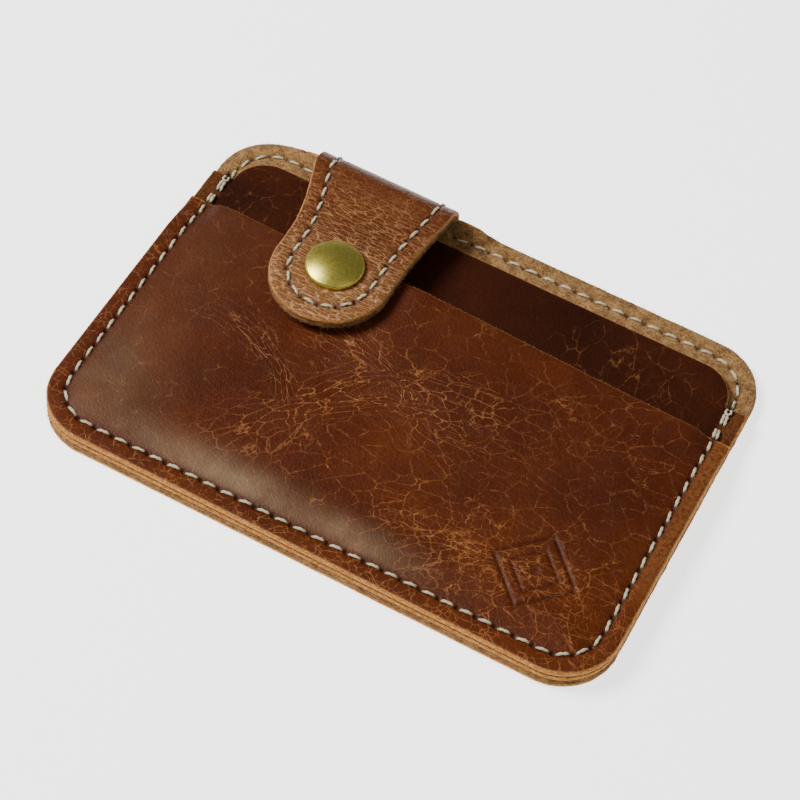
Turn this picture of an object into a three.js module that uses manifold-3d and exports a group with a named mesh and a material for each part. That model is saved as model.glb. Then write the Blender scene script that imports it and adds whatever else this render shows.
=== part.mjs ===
// A slim leather card wallet, lying on its rear face with the pockets up.
// Units are millimetres. X runs along the long edge, Y towards the folded strap, Z up.
// The origin is the middle of the rear face.
import * as THREE from "three";
import { mergeVertices } from "three/addons/utils/BufferGeometryUtils.js";
import Module from "manifold-3d";

const wasm = await Module();
wasm.setup();

// ---------------------------------------------------------------- driving dimensions

const bodyWidth = 105;
const bodyHeight = 75;
const cornerRadius = 10.2;

const backThickness = 1;
const liningThickness = 0.95;
const middleThickness = 1.2;
const frontThickness = 1.6;
const layerGap = 0.05;

const frontMouthBelowTop = 20.5;
const shoulderBelowTop = 12.8;
const middleMouthBelowTop = 7.7;
const middleCornerRadius = 6.5;
const middleClearOfStitch = 0.9;

const stitchInset = 3.1;
const threadRadius = 0.31;
const threadSink = 0.3;
const threadClearance = 0.14;
const threadEndGap = 0.8;
const threadBurial = 0.04;
const bartackRadius = 0.42;

const strapFromLeftEdge = 30.1;
const strapWidth = 21.5;
const strapRootWidth = 27;
const strapFlareLength = 16;
const strapLean = 1.2;
const strapClearance = 2.5;
const strapTipPastSnap = 11.9;
const foldBelowTop = 5.8;
const foldEndGap = 0.6;
const foldSideGap = 0.35;

const snapBelowMouth = 4.8;
const capRadius = 5.3;
const capHeight = 1.9;
const capRimHeight = 0.45;
const capFootShare = 0.93;
const capCrownPower = 0.62;
const shankRadius = 1.2;
const shankClearance = 0.2;
const socketRadius = 4.2;
const studRadius = 1.95;
const studFlangeRadius = 3.4;
const flangeThickness = 0.3;
const postFlangeRadius = 3.6;
const postFlangeThickness = 0.24;
const snapClearance = 0.35;
const springWireRadius = 0.2;
const springTrackRise = 0.28;
const webThickness = 0.3;
const clinchThickness = 0.16;
const clinchOverhang = 0.6;
const clinchToStud = 0.15;
const studLip = 0.15;
const studNeckDepth = 0.2;
const postBelowStud = 0.2;
const punchMargin = 0.5;

const seatLift = 0.4;
const seatRadius = 4.6;
const seatFade = 3.4;
const mouthLiftClearance = 0.2;
const mouthLiftDepth = 26;
const mouthPeakPastStrap = 3;
const mouthLeftFade = 18;
const mouthSideMargin = 8;
const mouthFadePower = 1.3;

const arcSegments = 6;
const curveSegmentsRound = 16;
const threadSegments = 4;
const domeSteps = 7;
const springSegments = 6;
const frontColumns = 36;
const frontRows = 18;

// ---------------------------------------------------------------- levels and places

const top = bodyHeight / 2;
const side = bodyWidth / 2;

const liningBottom = backThickness + layerGap;
const backTop = liningBottom + liningThickness;
const middleBottom = backTop + layerGap;
const middleTop = middleBottom + middleThickness;
const frontBottom = middleTop + layerGap;
const frontTop = frontBottom + frontThickness;

const strapBottom = frontTop + strapClearance;
const strapShellBottom = strapBottom + liningThickness + layerGap;
const strapTop = strapShellBottom + backThickness;

const frontMouth = top - frontMouthBelowTop;
const shoulder = top - shoulderBelowTop;
const middleMouth = top - middleMouthBelowTop;

const foldStart = top - foldBelowTop;
const foldCentreZ = strapTop / 2;
const foldOuterRadius = strapTop / 2;
const foldShellInnerRadius = foldOuterRadius - backThickness;
const foldLiningOuterRadius = foldShellInnerRadius - layerGap;
const foldInnerRadius = foldLiningOuterRadius - liningThickness;

const rootX = -side + strapFromLeftEdge;
const snapX = rootX + strapLean;
const snapY = frontMouth - snapBelowMouth;
const tipY = snapY - strapTipPastSnap;
const seatTop = frontTop + seatLift;

// ---------------------------------------------------------------- solids and shapes

function solidOf(geometry) {
  const bare = geometry.clone();
  bare.deleteAttribute("normal");
  bare.deleteAttribute("uv");
  const merged = mergeVertices(bare, 1e-4);
  return new wasm.Manifold(
    new wasm.Mesh({
      numProp: 3,
      vertProperties: merged.attributes.position.array,
      triVerts: new Uint32Array(merged.index.array),
    }),
  );
}

function geometryOf(solid) {
  const mesh = solid.getMesh();
  const indexed = new THREE.BufferGeometry();
  indexed.setAttribute("position", new THREE.BufferAttribute(mesh.vertProperties, 3));
  indexed.setIndex(new THREE.BufferAttribute(mesh.triVerts, 1));
  const flat = indexed.toNonIndexed();
  flat.computeVertexNormals();
  return flat;
}

// A flat sheet cut to an outline, from height z up.
function sheet(outline, z, thickness) {
  const options = { depth: thickness, bevelEnabled: false, curveSegments: arcSegments };
  return new THREE.ExtrudeGeometry(outline, options).translate(0, 0, z);
}

// A route through points that stay as they are given, so that arcs keep their own steps.
class PointRoute extends THREE.Curve {
  constructor(points) {
    super();
    this.points = points;
  }

  getPoint(t, target = new THREE.Vector3()) {
    const last = this.points.length - 1;
    const at = Math.min(Math.max(t, 0), 1) * last;
    const from = Math.min(Math.floor(at), last - 1);
    return target.lerpVectors(this.points[from], this.points[from + 1], at - from);
  }

  getPointAt(u, target) {
    return this.getPoint(u, target);
  }

  getTangentAt(u, target) {
    return this.getTangent(u, target);
  }
}

function along(points, section, segments) {
  return new THREE.ExtrudeGeometry(section, {
    extrudePath: new PointRoute(points),
    steps: points.length - 1,
    curveSegments: segments,
    bevelEnabled: false,
  });
}

function roundSection(radius) {
  return new THREE.Shape().absarc(0, 0, radius, 0, 2 * Math.PI);
}

function squareSection(half) {
  const shape = new THREE.Shape();
  shape.moveTo(-half, -half);
  shape.lineTo(half, -half);
  shape.lineTo(half, half);
  shape.lineTo(-half, half);
  shape.closePath();
  return shape;
}

// A thread along its route, and the channel that the leather keeps for it.
function thread(points, radius = threadRadius) {
  return along(points, roundSection(radius), threadSegments);
}

function channel(points, radius = threadRadius) {
  const first = points[0];
  const second = points[1];
  const last = points[points.length - 1];
  const beforeLast = points[points.length - 2];
  const extra = 2 * threadClearance;
  const start = first.clone().sub(second).setLength(extra).add(first);
  const end = last.clone().sub(beforeLast).setLength(extra).add(last);
  const longer = [start, ...points.slice(1, -1), end];
  return solidOf(along(longer, squareSection(radius + threadClearance), 1));
}

function atHeight(path, z) {
  return path.getPoints(arcSegments).map((point) => new THREE.Vector3(point.x, point.y, z));
}

// A thread's middle when it is laid on a face that looks up, or on one that looks down,
// and how deep it lies on the outer faces, where it stays below the leather's surface.
const onTopOf = (z, radius = threadRadius) => z + radius - threadSink;
const underside = (z) => z - threadRadius + threadSink;
const buried = threadRadius + threadBurial;

// ---------------------------------------------------------------- outlines

// The stitched body below a height, drawn anticlockwise: straight top, round bottom corners.
function bodyOutline(upTo) {
  const shape = new THREE.Shape();
  shape.moveTo(-side, upTo);
  shape.lineTo(-side, -top + cornerRadius);
  shape.absarc(-side + cornerRadius, -top + cornerRadius, cornerRadius, Math.PI, 1.5 * Math.PI);
  shape.lineTo(side - cornerRadius, -top);
  shape.absarc(side - cornerRadius, -top + cornerRadius, cornerRadius, 1.5 * Math.PI, 2 * Math.PI);
  shape.lineTo(side, upTo);
  return shape;
}

// The back sheet: round at all four corners, with the strap's tongue cut free at the fold.
function backOutline() {
  const shape = bodyOutline(top - cornerRadius);
  const notchLeft = rootX - strapRootWidth / 2 - foldSideGap;
  const notchRight = rootX + strapRootWidth / 2 + foldSideGap;
  shape.absarc(side - cornerRadius, top - cornerRadius, cornerRadius, 0, 0.5 * Math.PI);
  shape.lineTo(notchRight, top);
  shape.lineTo(notchRight, foldStart);
  shape.lineTo(notchLeft, foldStart);
  shape.lineTo(notchLeft, top);
  shape.lineTo(-side + cornerRadius, top);
  shape.absarc(-side + cornerRadius, top - cornerRadius, cornerRadius, 0.5 * Math.PI, Math.PI);
  return shape;
}

// The middle sheet: full width up to its shoulders, then a narrower tab with round corners.
function middleOutline() {
  const shape = bodyOutline(shoulder);
  const tabSide = side - stitchInset - middleClearOfStitch;
  const arcX = tabSide - middleCornerRadius;
  const arcY = middleMouth - middleCornerRadius;
  shape.lineTo(tabSide, shoulder);
  shape.absarc(arcX, Math.max(arcY, shoulder), middleCornerRadius, 0, 0.5 * Math.PI);
  shape.absarc(-arcX, Math.max(arcY, shoulder), middleCornerRadius, 0.5 * Math.PI, Math.PI);
  shape.lineTo(-tabSide, shoulder);
  return shape;
}

// The strap's side and round tip, moved in by an inset: from the left root to the right one.
function strapPath(inset, startY) {
  const rootHalf = strapRootWidth / 2 - inset;
  const half = strapWidth / 2 - inset;
  const arcY = tipY + strapWidth / 2;
  const flareY = Math.max(foldStart - strapFlareLength, arcY);
  const bendY = (startY + 2 * flareY) / 3;
  const path = new THREE.Path();
  path.moveTo(rootX - rootHalf, startY);
  path.quadraticCurveTo(snapX - half, bendY, snapX - half, flareY);
  path.lineTo(snapX - half, arcY);
  path.absarc(snapX, arcY, half, Math.PI, 2 * Math.PI);
  path.lineTo(snapX + half, flareY);
  path.quadraticCurveTo(snapX + half, bendY, rootX + rootHalf, startY);
  return path;
}

// ---------------------------------------------------------------- seams

const seamSide = side - stitchInset;
const seamTop = top - stitchInset;
const seamArc = cornerRadius - stitchInset;

function seamPath(startY) {
  const path = new THREE.Path();
  path.moveTo(-seamSide, startY);
  path.lineTo(-seamSide, -seamTop + seamArc);
  path.absarc(-seamSide + seamArc, -seamTop + seamArc, seamArc, Math.PI, 1.5 * Math.PI);
  path.lineTo(seamSide - seamArc, -seamTop);
  path.absarc(seamSide - seamArc, -seamTop + seamArc, seamArc, 1.5 * Math.PI, 2 * Math.PI);
  path.lineTo(seamSide, startY);
  return path;
}

// The rim seam on one side, from the shoulder round the top corner to the strap's root.
function rimPath(sign) {
  const rootEdge = rootX + sign * (strapRootWidth / 2 + foldSideGap + threadEndGap);
  const path = new THREE.Path();
  path.moveTo(sign * seamSide, shoulder + threadEndGap);
  path.lineTo(sign * seamSide, seamTop - seamArc);
  path.absarc(
    sign * (seamSide - seamArc),
    seamTop - seamArc,
    seamArc,
    sign > 0 ? 0 : Math.PI,
    0.5 * Math.PI,
    sign < 0,
  );
  path.lineTo(rootEdge, seamTop);
  return path;
}

// A half turn round the fold at one of the strap's stitch lines.
function foldRoute(x, radius) {
  const reach = Math.acos((foldEndGap + threadEndGap / 2) / radius);
  const steps = 2 * arcSegments;
  const points = [];
  for (let i = 0; i <= steps; i += 1) {
    const angle = -reach + (2 * reach * i) / steps;
    const y = foldStart + radius * Math.cos(angle);
    const z = foldCentreZ + radius * Math.sin(angle);
    points.push(new THREE.Vector3(x, y, z));
  }
  return points;
}

const bartackHalfLength = (shoulder - frontMouth) / 2 - threadEndGap;
const bartackY = (shoulder + frontMouth) / 2;

function bartackRoute(sign) {
  const z = onTopOf(middleTop, bartackRadius);
  return [-1, 0, 1].map(
    (step) => new THREE.Vector3(sign * seamSide, bartackY + step * bartackHalfLength, z),
  );
}

const seamFrontRoute = atHeight(seamPath(frontMouth - threadEndGap), onTopOf(frontTop));
const seamRearRoute = atHeight(seamPath(shoulder - threadEndGap), buried);
const strapThreadStart = foldStart - threadEndGap;
const strapTopRoute = atHeight(strapPath(stitchInset, strapThreadStart), onTopOf(strapTop));
const strapUnderRoute = atHeight(strapPath(stitchInset, strapThreadStart), underside(strapBottom));
const rimFrontRoute = (sign) => atHeight(rimPath(sign), onTopOf(backTop));
const rimRearRoute = (sign) => atHeight(rimPath(sign), buried);
const foldSeamX = (sign) => rootX + sign * (strapRootWidth / 2 - stitchInset);
const foldOuterRoute = (sign) => foldRoute(foldSeamX(sign), foldOuterRadius - buried);
const foldInnerRoute = (sign) =>
  foldRoute(foldSeamX(sign), foldInnerRadius - threadRadius + threadSink);

// ---------------------------------------------------------------- the front pocket's mouth

const smooth = (t) => {
  const s = Math.min(Math.max(t, 0), 1);
  return s * s * (3 - 2 * s);
};

// How far the front sheet stands up where the closed strap and the snap pull its mouth open.
function lift(x, y) {
  const peakX = rootX + strapRootWidth / 2 + mouthPeakPastStrap;
  const rightEnd = side - mouthSideMargin;
  const rightPart = Math.max(0, (rightEnd - x) / (rightEnd - peakX)) ** mouthFadePower;
  const leftPart = smooth((x - (peakX - mouthLeftFade)) / mouthLeftFade);
  const across = x > peakX ? rightPart : leftPart;
  const down = smooth((y - (frontMouth - mouthLiftDepth)) / mouthLiftDepth);
  const bulge = (strapClearance - mouthLiftClearance) * across * down;
  const seat = smooth((Math.hypot(x - snapX, y - snapY) - seatRadius) / seatFade);
  return bulge * seat + seatLift * (1 - seat);
}

function frontSheet() {
  const depth = frontMouth + top;
  const slab = new THREE.BoxGeometry(bodyWidth, depth, frontThickness, frontColumns, frontRows, 1);
  slab.translate(0, (frontMouth - top) / 2, (frontBottom + frontTop) / 2);
  const position = slab.attributes.position;
  for (let i = 0; i < position.count; i += 1) {
    const rise = lift(position.getX(i), position.getY(i));
    position.setZ(i, position.getZ(i) + rise);
  }
  const cutter = sheet(bodyOutline(frontMouth), frontBottom - frontThickness, strapTop);
  const hole = punch(frontBottom, seatTop);
  return solidOf(slab)
    .intersect(solidOf(cutter))
    .subtract(channel(seamFrontRoute))
    .subtract(hole);
}

// The round hole that a snap's shank passes through.
function punch(fromZ, toZ) {
  const height = toZ - fromZ + 2 * punchMargin;
  const radius = shankRadius + shankClearance;
  const rod = new THREE.CylinderGeometry(radius, radius, height, curveSegmentsRound);
  rod.rotateX(Math.PI / 2);
  rod.translate(snapX, snapY, (fromZ + toZ) / 2);
  return solidOf(rod);
}

// ---------------------------------------------------------------- leather pieces

function backPanel() {
  return solidOf(sheet(backOutline(), 0, backThickness))
    .subtract(channel(seamRearRoute))
    .subtract(channel(rimRearRoute(-1)))
    .subtract(channel(rimRearRoute(1)));
}

function backLining() {
  return solidOf(sheet(backOutline(), liningBottom, liningThickness))
    .subtract(channel(rimFrontRoute(-1)))
    .subtract(channel(rimFrontRoute(1)));
}

function middlePanel() {
  return solidOf(sheet(middleOutline(), middleBottom, middleThickness))
    .subtract(channel(bartackRoute(-1), bartackRadius))
    .subtract(channel(bartackRoute(1), bartackRadius));
}

function strapLayer(z, thickness, route) {
  const outline = new THREE.Shape(strapPath(0, foldStart).getPoints(arcSegments));
  return solidOf(sheet(outline, z, thickness))
    .subtract(channel(route))
    .subtract(punch(z, z + thickness));
}

// One layer of the fold: a half ring across the strap's root, open towards the pockets.
function foldLayer(outerRadius, innerRadius, leftRoute, rightRoute) {
  const outerReach = Math.acos(foldEndGap / outerRadius);
  const innerReach = Math.acos(foldEndGap / innerRadius);
  const ring = new THREE.Shape();
  ring.absarc(0, 0, outerRadius, -outerReach, outerReach, false);
  ring.absarc(0, 0, innerRadius, innerReach, -innerReach, true);
  ring.closePath();
  const options = { depth: strapRootWidth, bevelEnabled: false, curveSegments: arcSegments };
  const geometry = new THREE.ExtrudeGeometry(ring, options);
  geometry.rotateY(Math.PI / 2);
  geometry.rotateX(Math.PI / 2);
  geometry.translate(rootX - strapRootWidth / 2, foldStart, foldCentreZ);
  return solidOf(geometry).subtract(channel(leftRoute)).subtract(channel(rightRoute));
}

// ---------------------------------------------------------------- the snap

// A turned piece on the snap's own axis, from a profile of [radius, height] pairs.
function turned(profile, baseZ) {
  const points = profile.map(([radius, height]) => new THREE.Vector2(radius, height));
  const closed = [...points, points[0].clone()];
  const geometry = new THREE.LatheGeometry(closed, 2 * curveSegmentsRound);
  geometry.rotateX(Math.PI / 2);
  geometry.translate(snapX, snapY, baseZ);
  return solidOf(geometry);
}

const socketBottom = layerGap + flangeThickness + 2 * layerGap;
const socketTop = strapBottom - seatTop - layerGap;
const webBottom = socketTop - webThickness;
const clinchTop = webBottom - layerGap;
const clinchRadius = shankRadius + clinchOverhang;
const studTop = clinchTop - clinchThickness - clinchToStud;
const socketMouthRadius = studRadius + snapClearance;
const springTrackRadius = socketMouthRadius + 4 * springWireRadius;
const springTrackBottom = socketBottom + springTrackRise;
const springTrackTop = springTrackBottom + 3 * springWireRadius;
const neckRadius = studRadius - studNeckDepth;
const boreRadius = shankRadius + shankClearance;

// The domed cap and its shank, which is clinched under the socket's web.
function snapCap() {
  const capBase = strapTop + layerGap - seatTop;
  const dome = [];
  for (let i = 0; i < domeSteps; i += 1) {
    const angle = (i / domeSteps) * 0.5 * Math.PI;
    const height = capRimHeight + (capHeight - capRimHeight) * Math.sin(angle);
    dome.push([capRadius * Math.cos(angle) ** capCrownPower, capBase + height]);
  }
  return turned(
    [
      [0, clinchTop - clinchThickness],
      [clinchRadius, clinchTop - clinchThickness],
      [clinchRadius, clinchTop],
      [shankRadius, clinchTop],
      [shankRadius, capBase],
      [capRadius * capFootShare, capBase],
      ...dome,
      [0, capBase + capHeight],
    ],
    seatTop,
  );
}

function snapSocket() {
  return turned(
    [
      [socketMouthRadius, socketBottom],
      [socketRadius, socketBottom],
      [socketRadius, socketTop],
      [boreRadius, socketTop],
      [boreRadius, webBottom],
      [socketMouthRadius, webBottom],
      [socketMouthRadius, springTrackTop],
      [springTrackRadius, springTrackTop],
      [springTrackRadius, springTrackBottom],
      [socketMouthRadius, springTrackBottom],
    ],
    seatTop,
  );
}

// The ring spring that grips the stud, held in the socket's track.
function snapSpring() {
  const middle = (springTrackBottom + springTrackTop) / 2;
  const ring = (socketMouthRadius + springTrackRadius) / 2;
  const wire = new THREE.TorusGeometry(ring, springWireRadius, springSegments, 2 * curveSegmentsRound);
  wire.translate(snapX, snapY, seatTop + middle);
  return solidOf(wire);
}

function snapStud() {
  return turned(
    [
      [boreRadius, layerGap],
      [studFlangeRadius, layerGap],
      [studFlangeRadius, layerGap + flangeThickness],
      [neckRadius, layerGap + flangeThickness],
      [neckRadius, springTrackTop],
      [studRadius, springTrackTop + studLip],
      [studRadius, studTop - studLip],
      [neckRadius, studTop],
      [boreRadius, studTop],
    ],
    seatTop,
  );
}

// The post pushed up through the front sheet from inside the pocket.
function snapPost() {
  const sheetBottom = -frontThickness;
  const flangeTop = sheetBottom - layerGap;
  return turned(
    [
      [0, flangeTop - postFlangeThickness],
      [postFlangeRadius, flangeTop - postFlangeThickness],
      [postFlangeRadius, flangeTop],
      [shankRadius, flangeTop],
      [shankRadius, studTop - postBelowStud],
      [0, studTop - postBelowStud],
    ],
    seatTop,
  );
}

// ---------------------------------------------------------------- materials and assembly

const finishes = {
  grain: { color: 0x6b3517, roughness: 0.5, metalness: 0 },
  darkGrain: { color: 0x3b1a12, roughness: 0.5, metalness: 0 },
  strapGrain: { color: 0x84502e, roughness: 0.55, metalness: 0 },
  suede: { color: 0xb08556, roughness: 0.95, metalness: 0 },
  thread: { color: 0xd8d2bb, roughness: 0.8, metalness: 0 },
  brass: { color: 0x8f7a34, roughness: 0.35, metalness: 1 },
  steel: { color: 0xb9b6ae, roughness: 0.35, metalness: 1 },
};

const wallet = new THREE.Group();

function add(name, shape, finish) {
  const geometry = shape.isBufferGeometry ? shape : geometryOf(shape);
  const mesh = new THREE.Mesh(geometry, new THREE.MeshStandardMaterial(finishes[finish]));
  mesh.name = name;
  wallet.add(mesh);
}

add("back_panel", backPanel(), "grain");
add("back_lining", backLining(), "suede");
add("middle_panel", middlePanel(), "darkGrain");
add("front_panel", frontSheet(), "grain");

add("strap_shell", strapLayer(strapShellBottom, backThickness, strapTopRoute), "strapGrain");
add("strap_lining", strapLayer(strapBottom, liningThickness, strapUnderRoute), "suede");

const outerLeft = foldOuterRoute(-1);
const outerRight = foldOuterRoute(1);
const innerLeft = foldInnerRoute(-1);
const innerRight = foldInnerRoute(1);
const foldShell = foldLayer(foldOuterRadius, foldShellInnerRadius, outerLeft, outerRight);
const foldLining = foldLayer(foldLiningOuterRadius, foldInnerRadius, innerLeft, innerRight);
add("fold_shell", foldShell, "strapGrain");
add("fold_lining", foldLining, "suede");

add("seam_thread_front", thread(seamFrontRoute), "thread");
add("seam_thread_rear", thread(seamRearRoute), "thread");
add("strap_thread_top", thread(strapTopRoute), "thread");
add("strap_thread_under", thread(strapUnderRoute), "thread");

for (const [word, sign] of [
  ["left", -1],
  ["right", 1],
]) {
  add("rim_thread_front_" + word, thread(rimFrontRoute(sign)), "thread");
  add("rim_thread_rear_" + word, thread(rimRearRoute(sign)), "thread");
  add("fold_thread_outer_" + word, thread(foldOuterRoute(sign)), "thread");
  add("fold_thread_inner_" + word, thread(foldInnerRoute(sign)), "thread");
  add("bartack_" + word, thread(bartackRoute(sign), bartackRadius), "thread");
}

add("snap_cap", snapCap(), "brass");
add("snap_socket", snapSocket(), "brass");
add("snap_spring", snapSpring(), "steel");
add("snap_stud", snapStud(), "brass");
add("snap_post", snapPost(), "brass");

export default wallet;
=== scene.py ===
"""Looks of the leather card wallet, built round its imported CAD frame.

Shapes are worked out in millimetres in the CAD's own frame and written to meshes in metres.
Leather sheets are laid out flat as (x, s, h) and then placed: the pockets stay flat, the back
curls up beside the strap's root, and the strap's layers are wrapped round the fold.
"""

import math

import bpy
import numpy as np
from mathutils import Matrix, Vector, geometry, kdtree


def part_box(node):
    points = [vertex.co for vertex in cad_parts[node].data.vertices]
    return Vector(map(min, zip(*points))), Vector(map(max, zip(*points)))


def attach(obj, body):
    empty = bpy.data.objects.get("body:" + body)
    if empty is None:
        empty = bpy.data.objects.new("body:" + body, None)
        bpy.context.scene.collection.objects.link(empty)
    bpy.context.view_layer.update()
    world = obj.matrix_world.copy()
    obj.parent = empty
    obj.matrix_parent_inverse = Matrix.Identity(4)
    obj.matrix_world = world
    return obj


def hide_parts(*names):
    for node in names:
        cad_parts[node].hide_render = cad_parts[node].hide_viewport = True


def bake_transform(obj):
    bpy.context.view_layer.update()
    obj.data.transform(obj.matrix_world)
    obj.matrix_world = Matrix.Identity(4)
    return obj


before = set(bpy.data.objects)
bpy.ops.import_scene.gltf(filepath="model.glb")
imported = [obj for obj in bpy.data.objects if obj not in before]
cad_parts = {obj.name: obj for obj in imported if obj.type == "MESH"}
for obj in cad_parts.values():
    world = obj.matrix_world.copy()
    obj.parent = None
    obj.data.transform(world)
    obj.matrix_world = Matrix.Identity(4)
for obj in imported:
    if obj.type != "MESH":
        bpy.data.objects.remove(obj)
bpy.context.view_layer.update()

MM = 0.001
FAR = 1e9
rng = np.random.default_rng(7)


# ---------- sizes, from the frame

def corners(node):
    """The low and high corner of a CAD node's box, in millimetres."""
    low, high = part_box(node)
    return np.array(low) / MM, np.array(high) / MM


back_low, back_high = corners("back_panel")
lining_low, lining_high = corners("back_lining")
middle_high = corners("middle_panel")[1]
front_low, front_high = corners("front_panel")
strap_low, strap_high = corners("strap_shell")
strap_lining_low = corners("strap_lining")[0]
fold_low, fold_high = corners("fold_shell")
cap_low, cap_high = corners("snap_cap")
bartack_low, bartack_high = corners("bartack_right")

SIDE = back_high[0]
TOP = back_high[1]
FRONT_MOUTH = front_high[1]
MIDDLE_MOUTH = middle_high[1]
SEAM_SIDE = (bartack_low[0] + bartack_high[0]) / 2
SEAM_INSET = SIDE - SEAM_SIDE
SHOULDER = bartack_high[1] + 0.8
FOLD_START = strap_high[1]
ROOT_LEFT = fold_low[0]
ROOT_RIGHT = fold_high[0]
ROOT_X = (ROOT_LEFT + ROOT_RIGHT) / 2
SNAP_X = (cap_low[0] + cap_high[0]) / 2
SNAP_Y = (cap_low[1] + cap_high[1]) / 2
TIP_Y = strap_low[1]
STRAP_TOP = strap_high[2]
STRAP_BOTTOM = strap_lining_low[2]

CORNER_RADIUS = 10.2
FRONT_THICKNESS = 1.6
MIDDLE_CORNER_RADIUS = 6.5
STRAP_WIDTH = 21.5
STRAP_FLARE = 16.0
BACK_SHELL_TOP = (back_high[2] + lining_low[2]) / 2
BACK_TOP = lining_high[2]
MIDDLE_TOP = middle_high[2]
FRONT_BOTTOM = front_low[2]
FRONT_TOP = FRONT_BOTTOM + FRONT_THICKNESS
STRAP_THICKNESS = STRAP_TOP - STRAP_BOTTOM
FOLD_RADIUS = (STRAP_TOP - STRAP_THICKNESS) / 2
FOLD_Z = STRAP_TOP / 2
FOLD_TURN = math.pi * FOLD_RADIUS

BACK_MIDDLE = (back_low[2] + BACK_TOP) / 2
CURL_REACH = 9.0

STITCH_PITCH = 3.35
THREAD_RADIUS = 0.29
HOLE_RADIUS = 0.31
HOLE_DEPTH = 0.42
STITCH_GAP = 0.33
STITCH_SLANT = 0.15
VALLEY_DEPTH = 0.2
VALLEY_REACH = 0.75
PUCKER_REACH = 0.8
REAR_BED = 0.22
ROOT_PITCH = 2.7
PLY_DEPTH = 0.16
KNOT_WIDTH = 0.45
KNOT_HEIGHT = 0.6
KNOT_RADIUS = 0.2

# Rows of fine points: how far in from an edge, and how far to each side of a seam.
EDGE_ROWS = (0.08, 0.18, 0.32, 0.55, 0.9)
SEAM_ROWS = (-1.1, -0.7, -0.46, -0.23, 0, 0.23, 0.46, 0.7, 1.1)
SEAM_STEP = 0.22
WALL_SHARES = (0.2, 0.4, 0.6, 0.8)
WORN_REACH = 0.45


# ---------- plane geometry

def line(start, end, step):
    """Points from start up to, but without, end."""
    start, end = np.array(start, float), np.array(end, float)
    count = max(1, round(float(np.linalg.norm(end - start)) / step))
    return start + (end - start) * (np.arange(count) / count)[:, None]


def arc(centre, radius, from_deg, to_deg, step):
    """Points along an arc, without its last one."""
    a, b = math.radians(from_deg), math.radians(to_deg)
    count = max(4, round(abs(b - a) * radius / step))
    angle = a + (b - a) * np.arange(count) / count
    return np.array(centre) + radius * np.column_stack([np.cos(angle), np.sin(angle)])


def bezier(start, control, end, step):
    start, control, end = (np.array(p, float) for p in (start, control, end))
    count = max(4, round(float(np.linalg.norm(end - start)) / step))
    t = (np.arange(count) / count)[:, None]
    return (1 - t) ** 2 * start + 2 * t * (1 - t) * control + t**2 * end


def close(points):
    return np.vstack([points, points[:1]])


def unit(vectors):
    return vectors / np.linalg.norm(vectors, axis=1)[:, None]


def directions(route):
    """The unit direction of a route at each of its points."""
    return unit(np.gradient(route, axis=0))


def left_of(way):
    """Flat directions, turned a quarter turn to the left."""
    return np.column_stack([-way[:, 1], way[:, 0]])


def measured(route):
    """The length of each leg of a route, and how far along it each of its points is."""
    legs = np.linalg.norm(np.diff(route, axis=0), axis=1)
    return legs, np.concatenate([[0], np.cumsum(legs)])


def search_tree(points):
    tree = kdtree.KDTree(len(points))
    for i, (x, y) in enumerate(points):
        tree.insert((x, y, 0), i)
    tree.balance()
    return tree


def nearest_place(points, route):
    """How far each point is from a finely stepped route, and how far along the route that is."""
    tree = search_tree(route)
    near = np.array([tree.find((x, y, 0))[1] for x, y in points[:, :2]])
    legs, at = measured(route)
    best, along = np.full(len(points), FAR), np.zeros(len(points))
    for first in (np.clip(near - 1, 0, len(route) - 2), np.clip(near, 0, len(route) - 2)):
        a, b = route[first], route[first + 1]
        d = b - a
        t = np.clip(((points[:, :2] - a) * d).sum(1) / np.maximum((d * d).sum(1), 1e-12), 0, 1)
        gap = np.linalg.norm(points[:, :2] - a - t[:, None] * d, axis=1)
        along = np.where(gap < best, at[first] + t * legs[first], along)
        best = np.minimum(best, gap)
    return best, along


def distance(points, route):
    return nearest_place(points, route)[0]


def spaced(route, step):
    """The points of a route again, in equal steps."""
    at = measured(route)[1]
    want = np.linspace(0, at[-1], max(2, round(at[-1] / step) + 1))
    return np.column_stack([np.interp(want, at, route[:, k]) for k in range(route.shape[1])])


def smooth(t):
    t = np.clip(t, 0, 1)
    return t * t * (3 - 2 * t)


def waves(points, scale, seed):
    """Slow random waves between about -1 and 1 over flat points."""
    source = np.random.default_rng(seed)
    total = np.zeros(len(points))
    for _ in range(7):
        angle = source.uniform(0, 2 * math.pi)
        k = 2 * math.pi / (scale * source.uniform(0.7, 1.6))
        direction = np.array([math.cos(angle), math.sin(angle)])
        total += np.sin(points[:, :2] @ direction * k + source.uniform(0, 2 * math.pi))
    return total / 4


# ---------- sheets of leather

def inward_normals(outline):
    ahead = np.roll(outline, -1, axis=0) - outline
    behind = outline - np.roll(outline, 1, axis=0)
    tangent = unit(ahead) + unit(behind)
    tangent /= np.maximum(np.linalg.norm(tangent, axis=1), 1e-9)[:, None]
    return left_of(tangent)


def edge_points(outline):
    """Rows of points inside an outline, without those that come nearer to it elsewhere."""
    normals = inward_normals(outline)
    loop = close(outline)
    kept = []
    for offset in EDGE_ROWS:
        points = outline + normals * offset
        near = distance(points, loop)
        kept.append(points[near > offset * 0.97 - 0.01])
    return np.vstack(kept)


def seam_points(route):
    """Rows of points beside a seam, fine enough for its valley and its holes."""
    points = spaced(route, SEAM_STEP)
    across = left_of(directions(points))
    return np.vstack([points + across * offset for offset in SEAM_ROWS])


def hex_points(low, high, step):
    rows = np.arange(low[1], high[1], step * 0.866)
    grid = []
    for i, y in enumerate(rows):
        x = np.arange(low[0] + (i % 2) * step / 2, high[0], step)
        grid.append(np.column_stack([x, np.full(len(x), y)]))
    return np.vstack(grid)


def thinned(points, taken, gap):
    """The points that keep a gap to those already taken."""
    tree = search_tree(taken)
    far = [tree.find((x, y, 0))[2] > gap for x, y in points]
    return points[np.array(far)]


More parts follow.
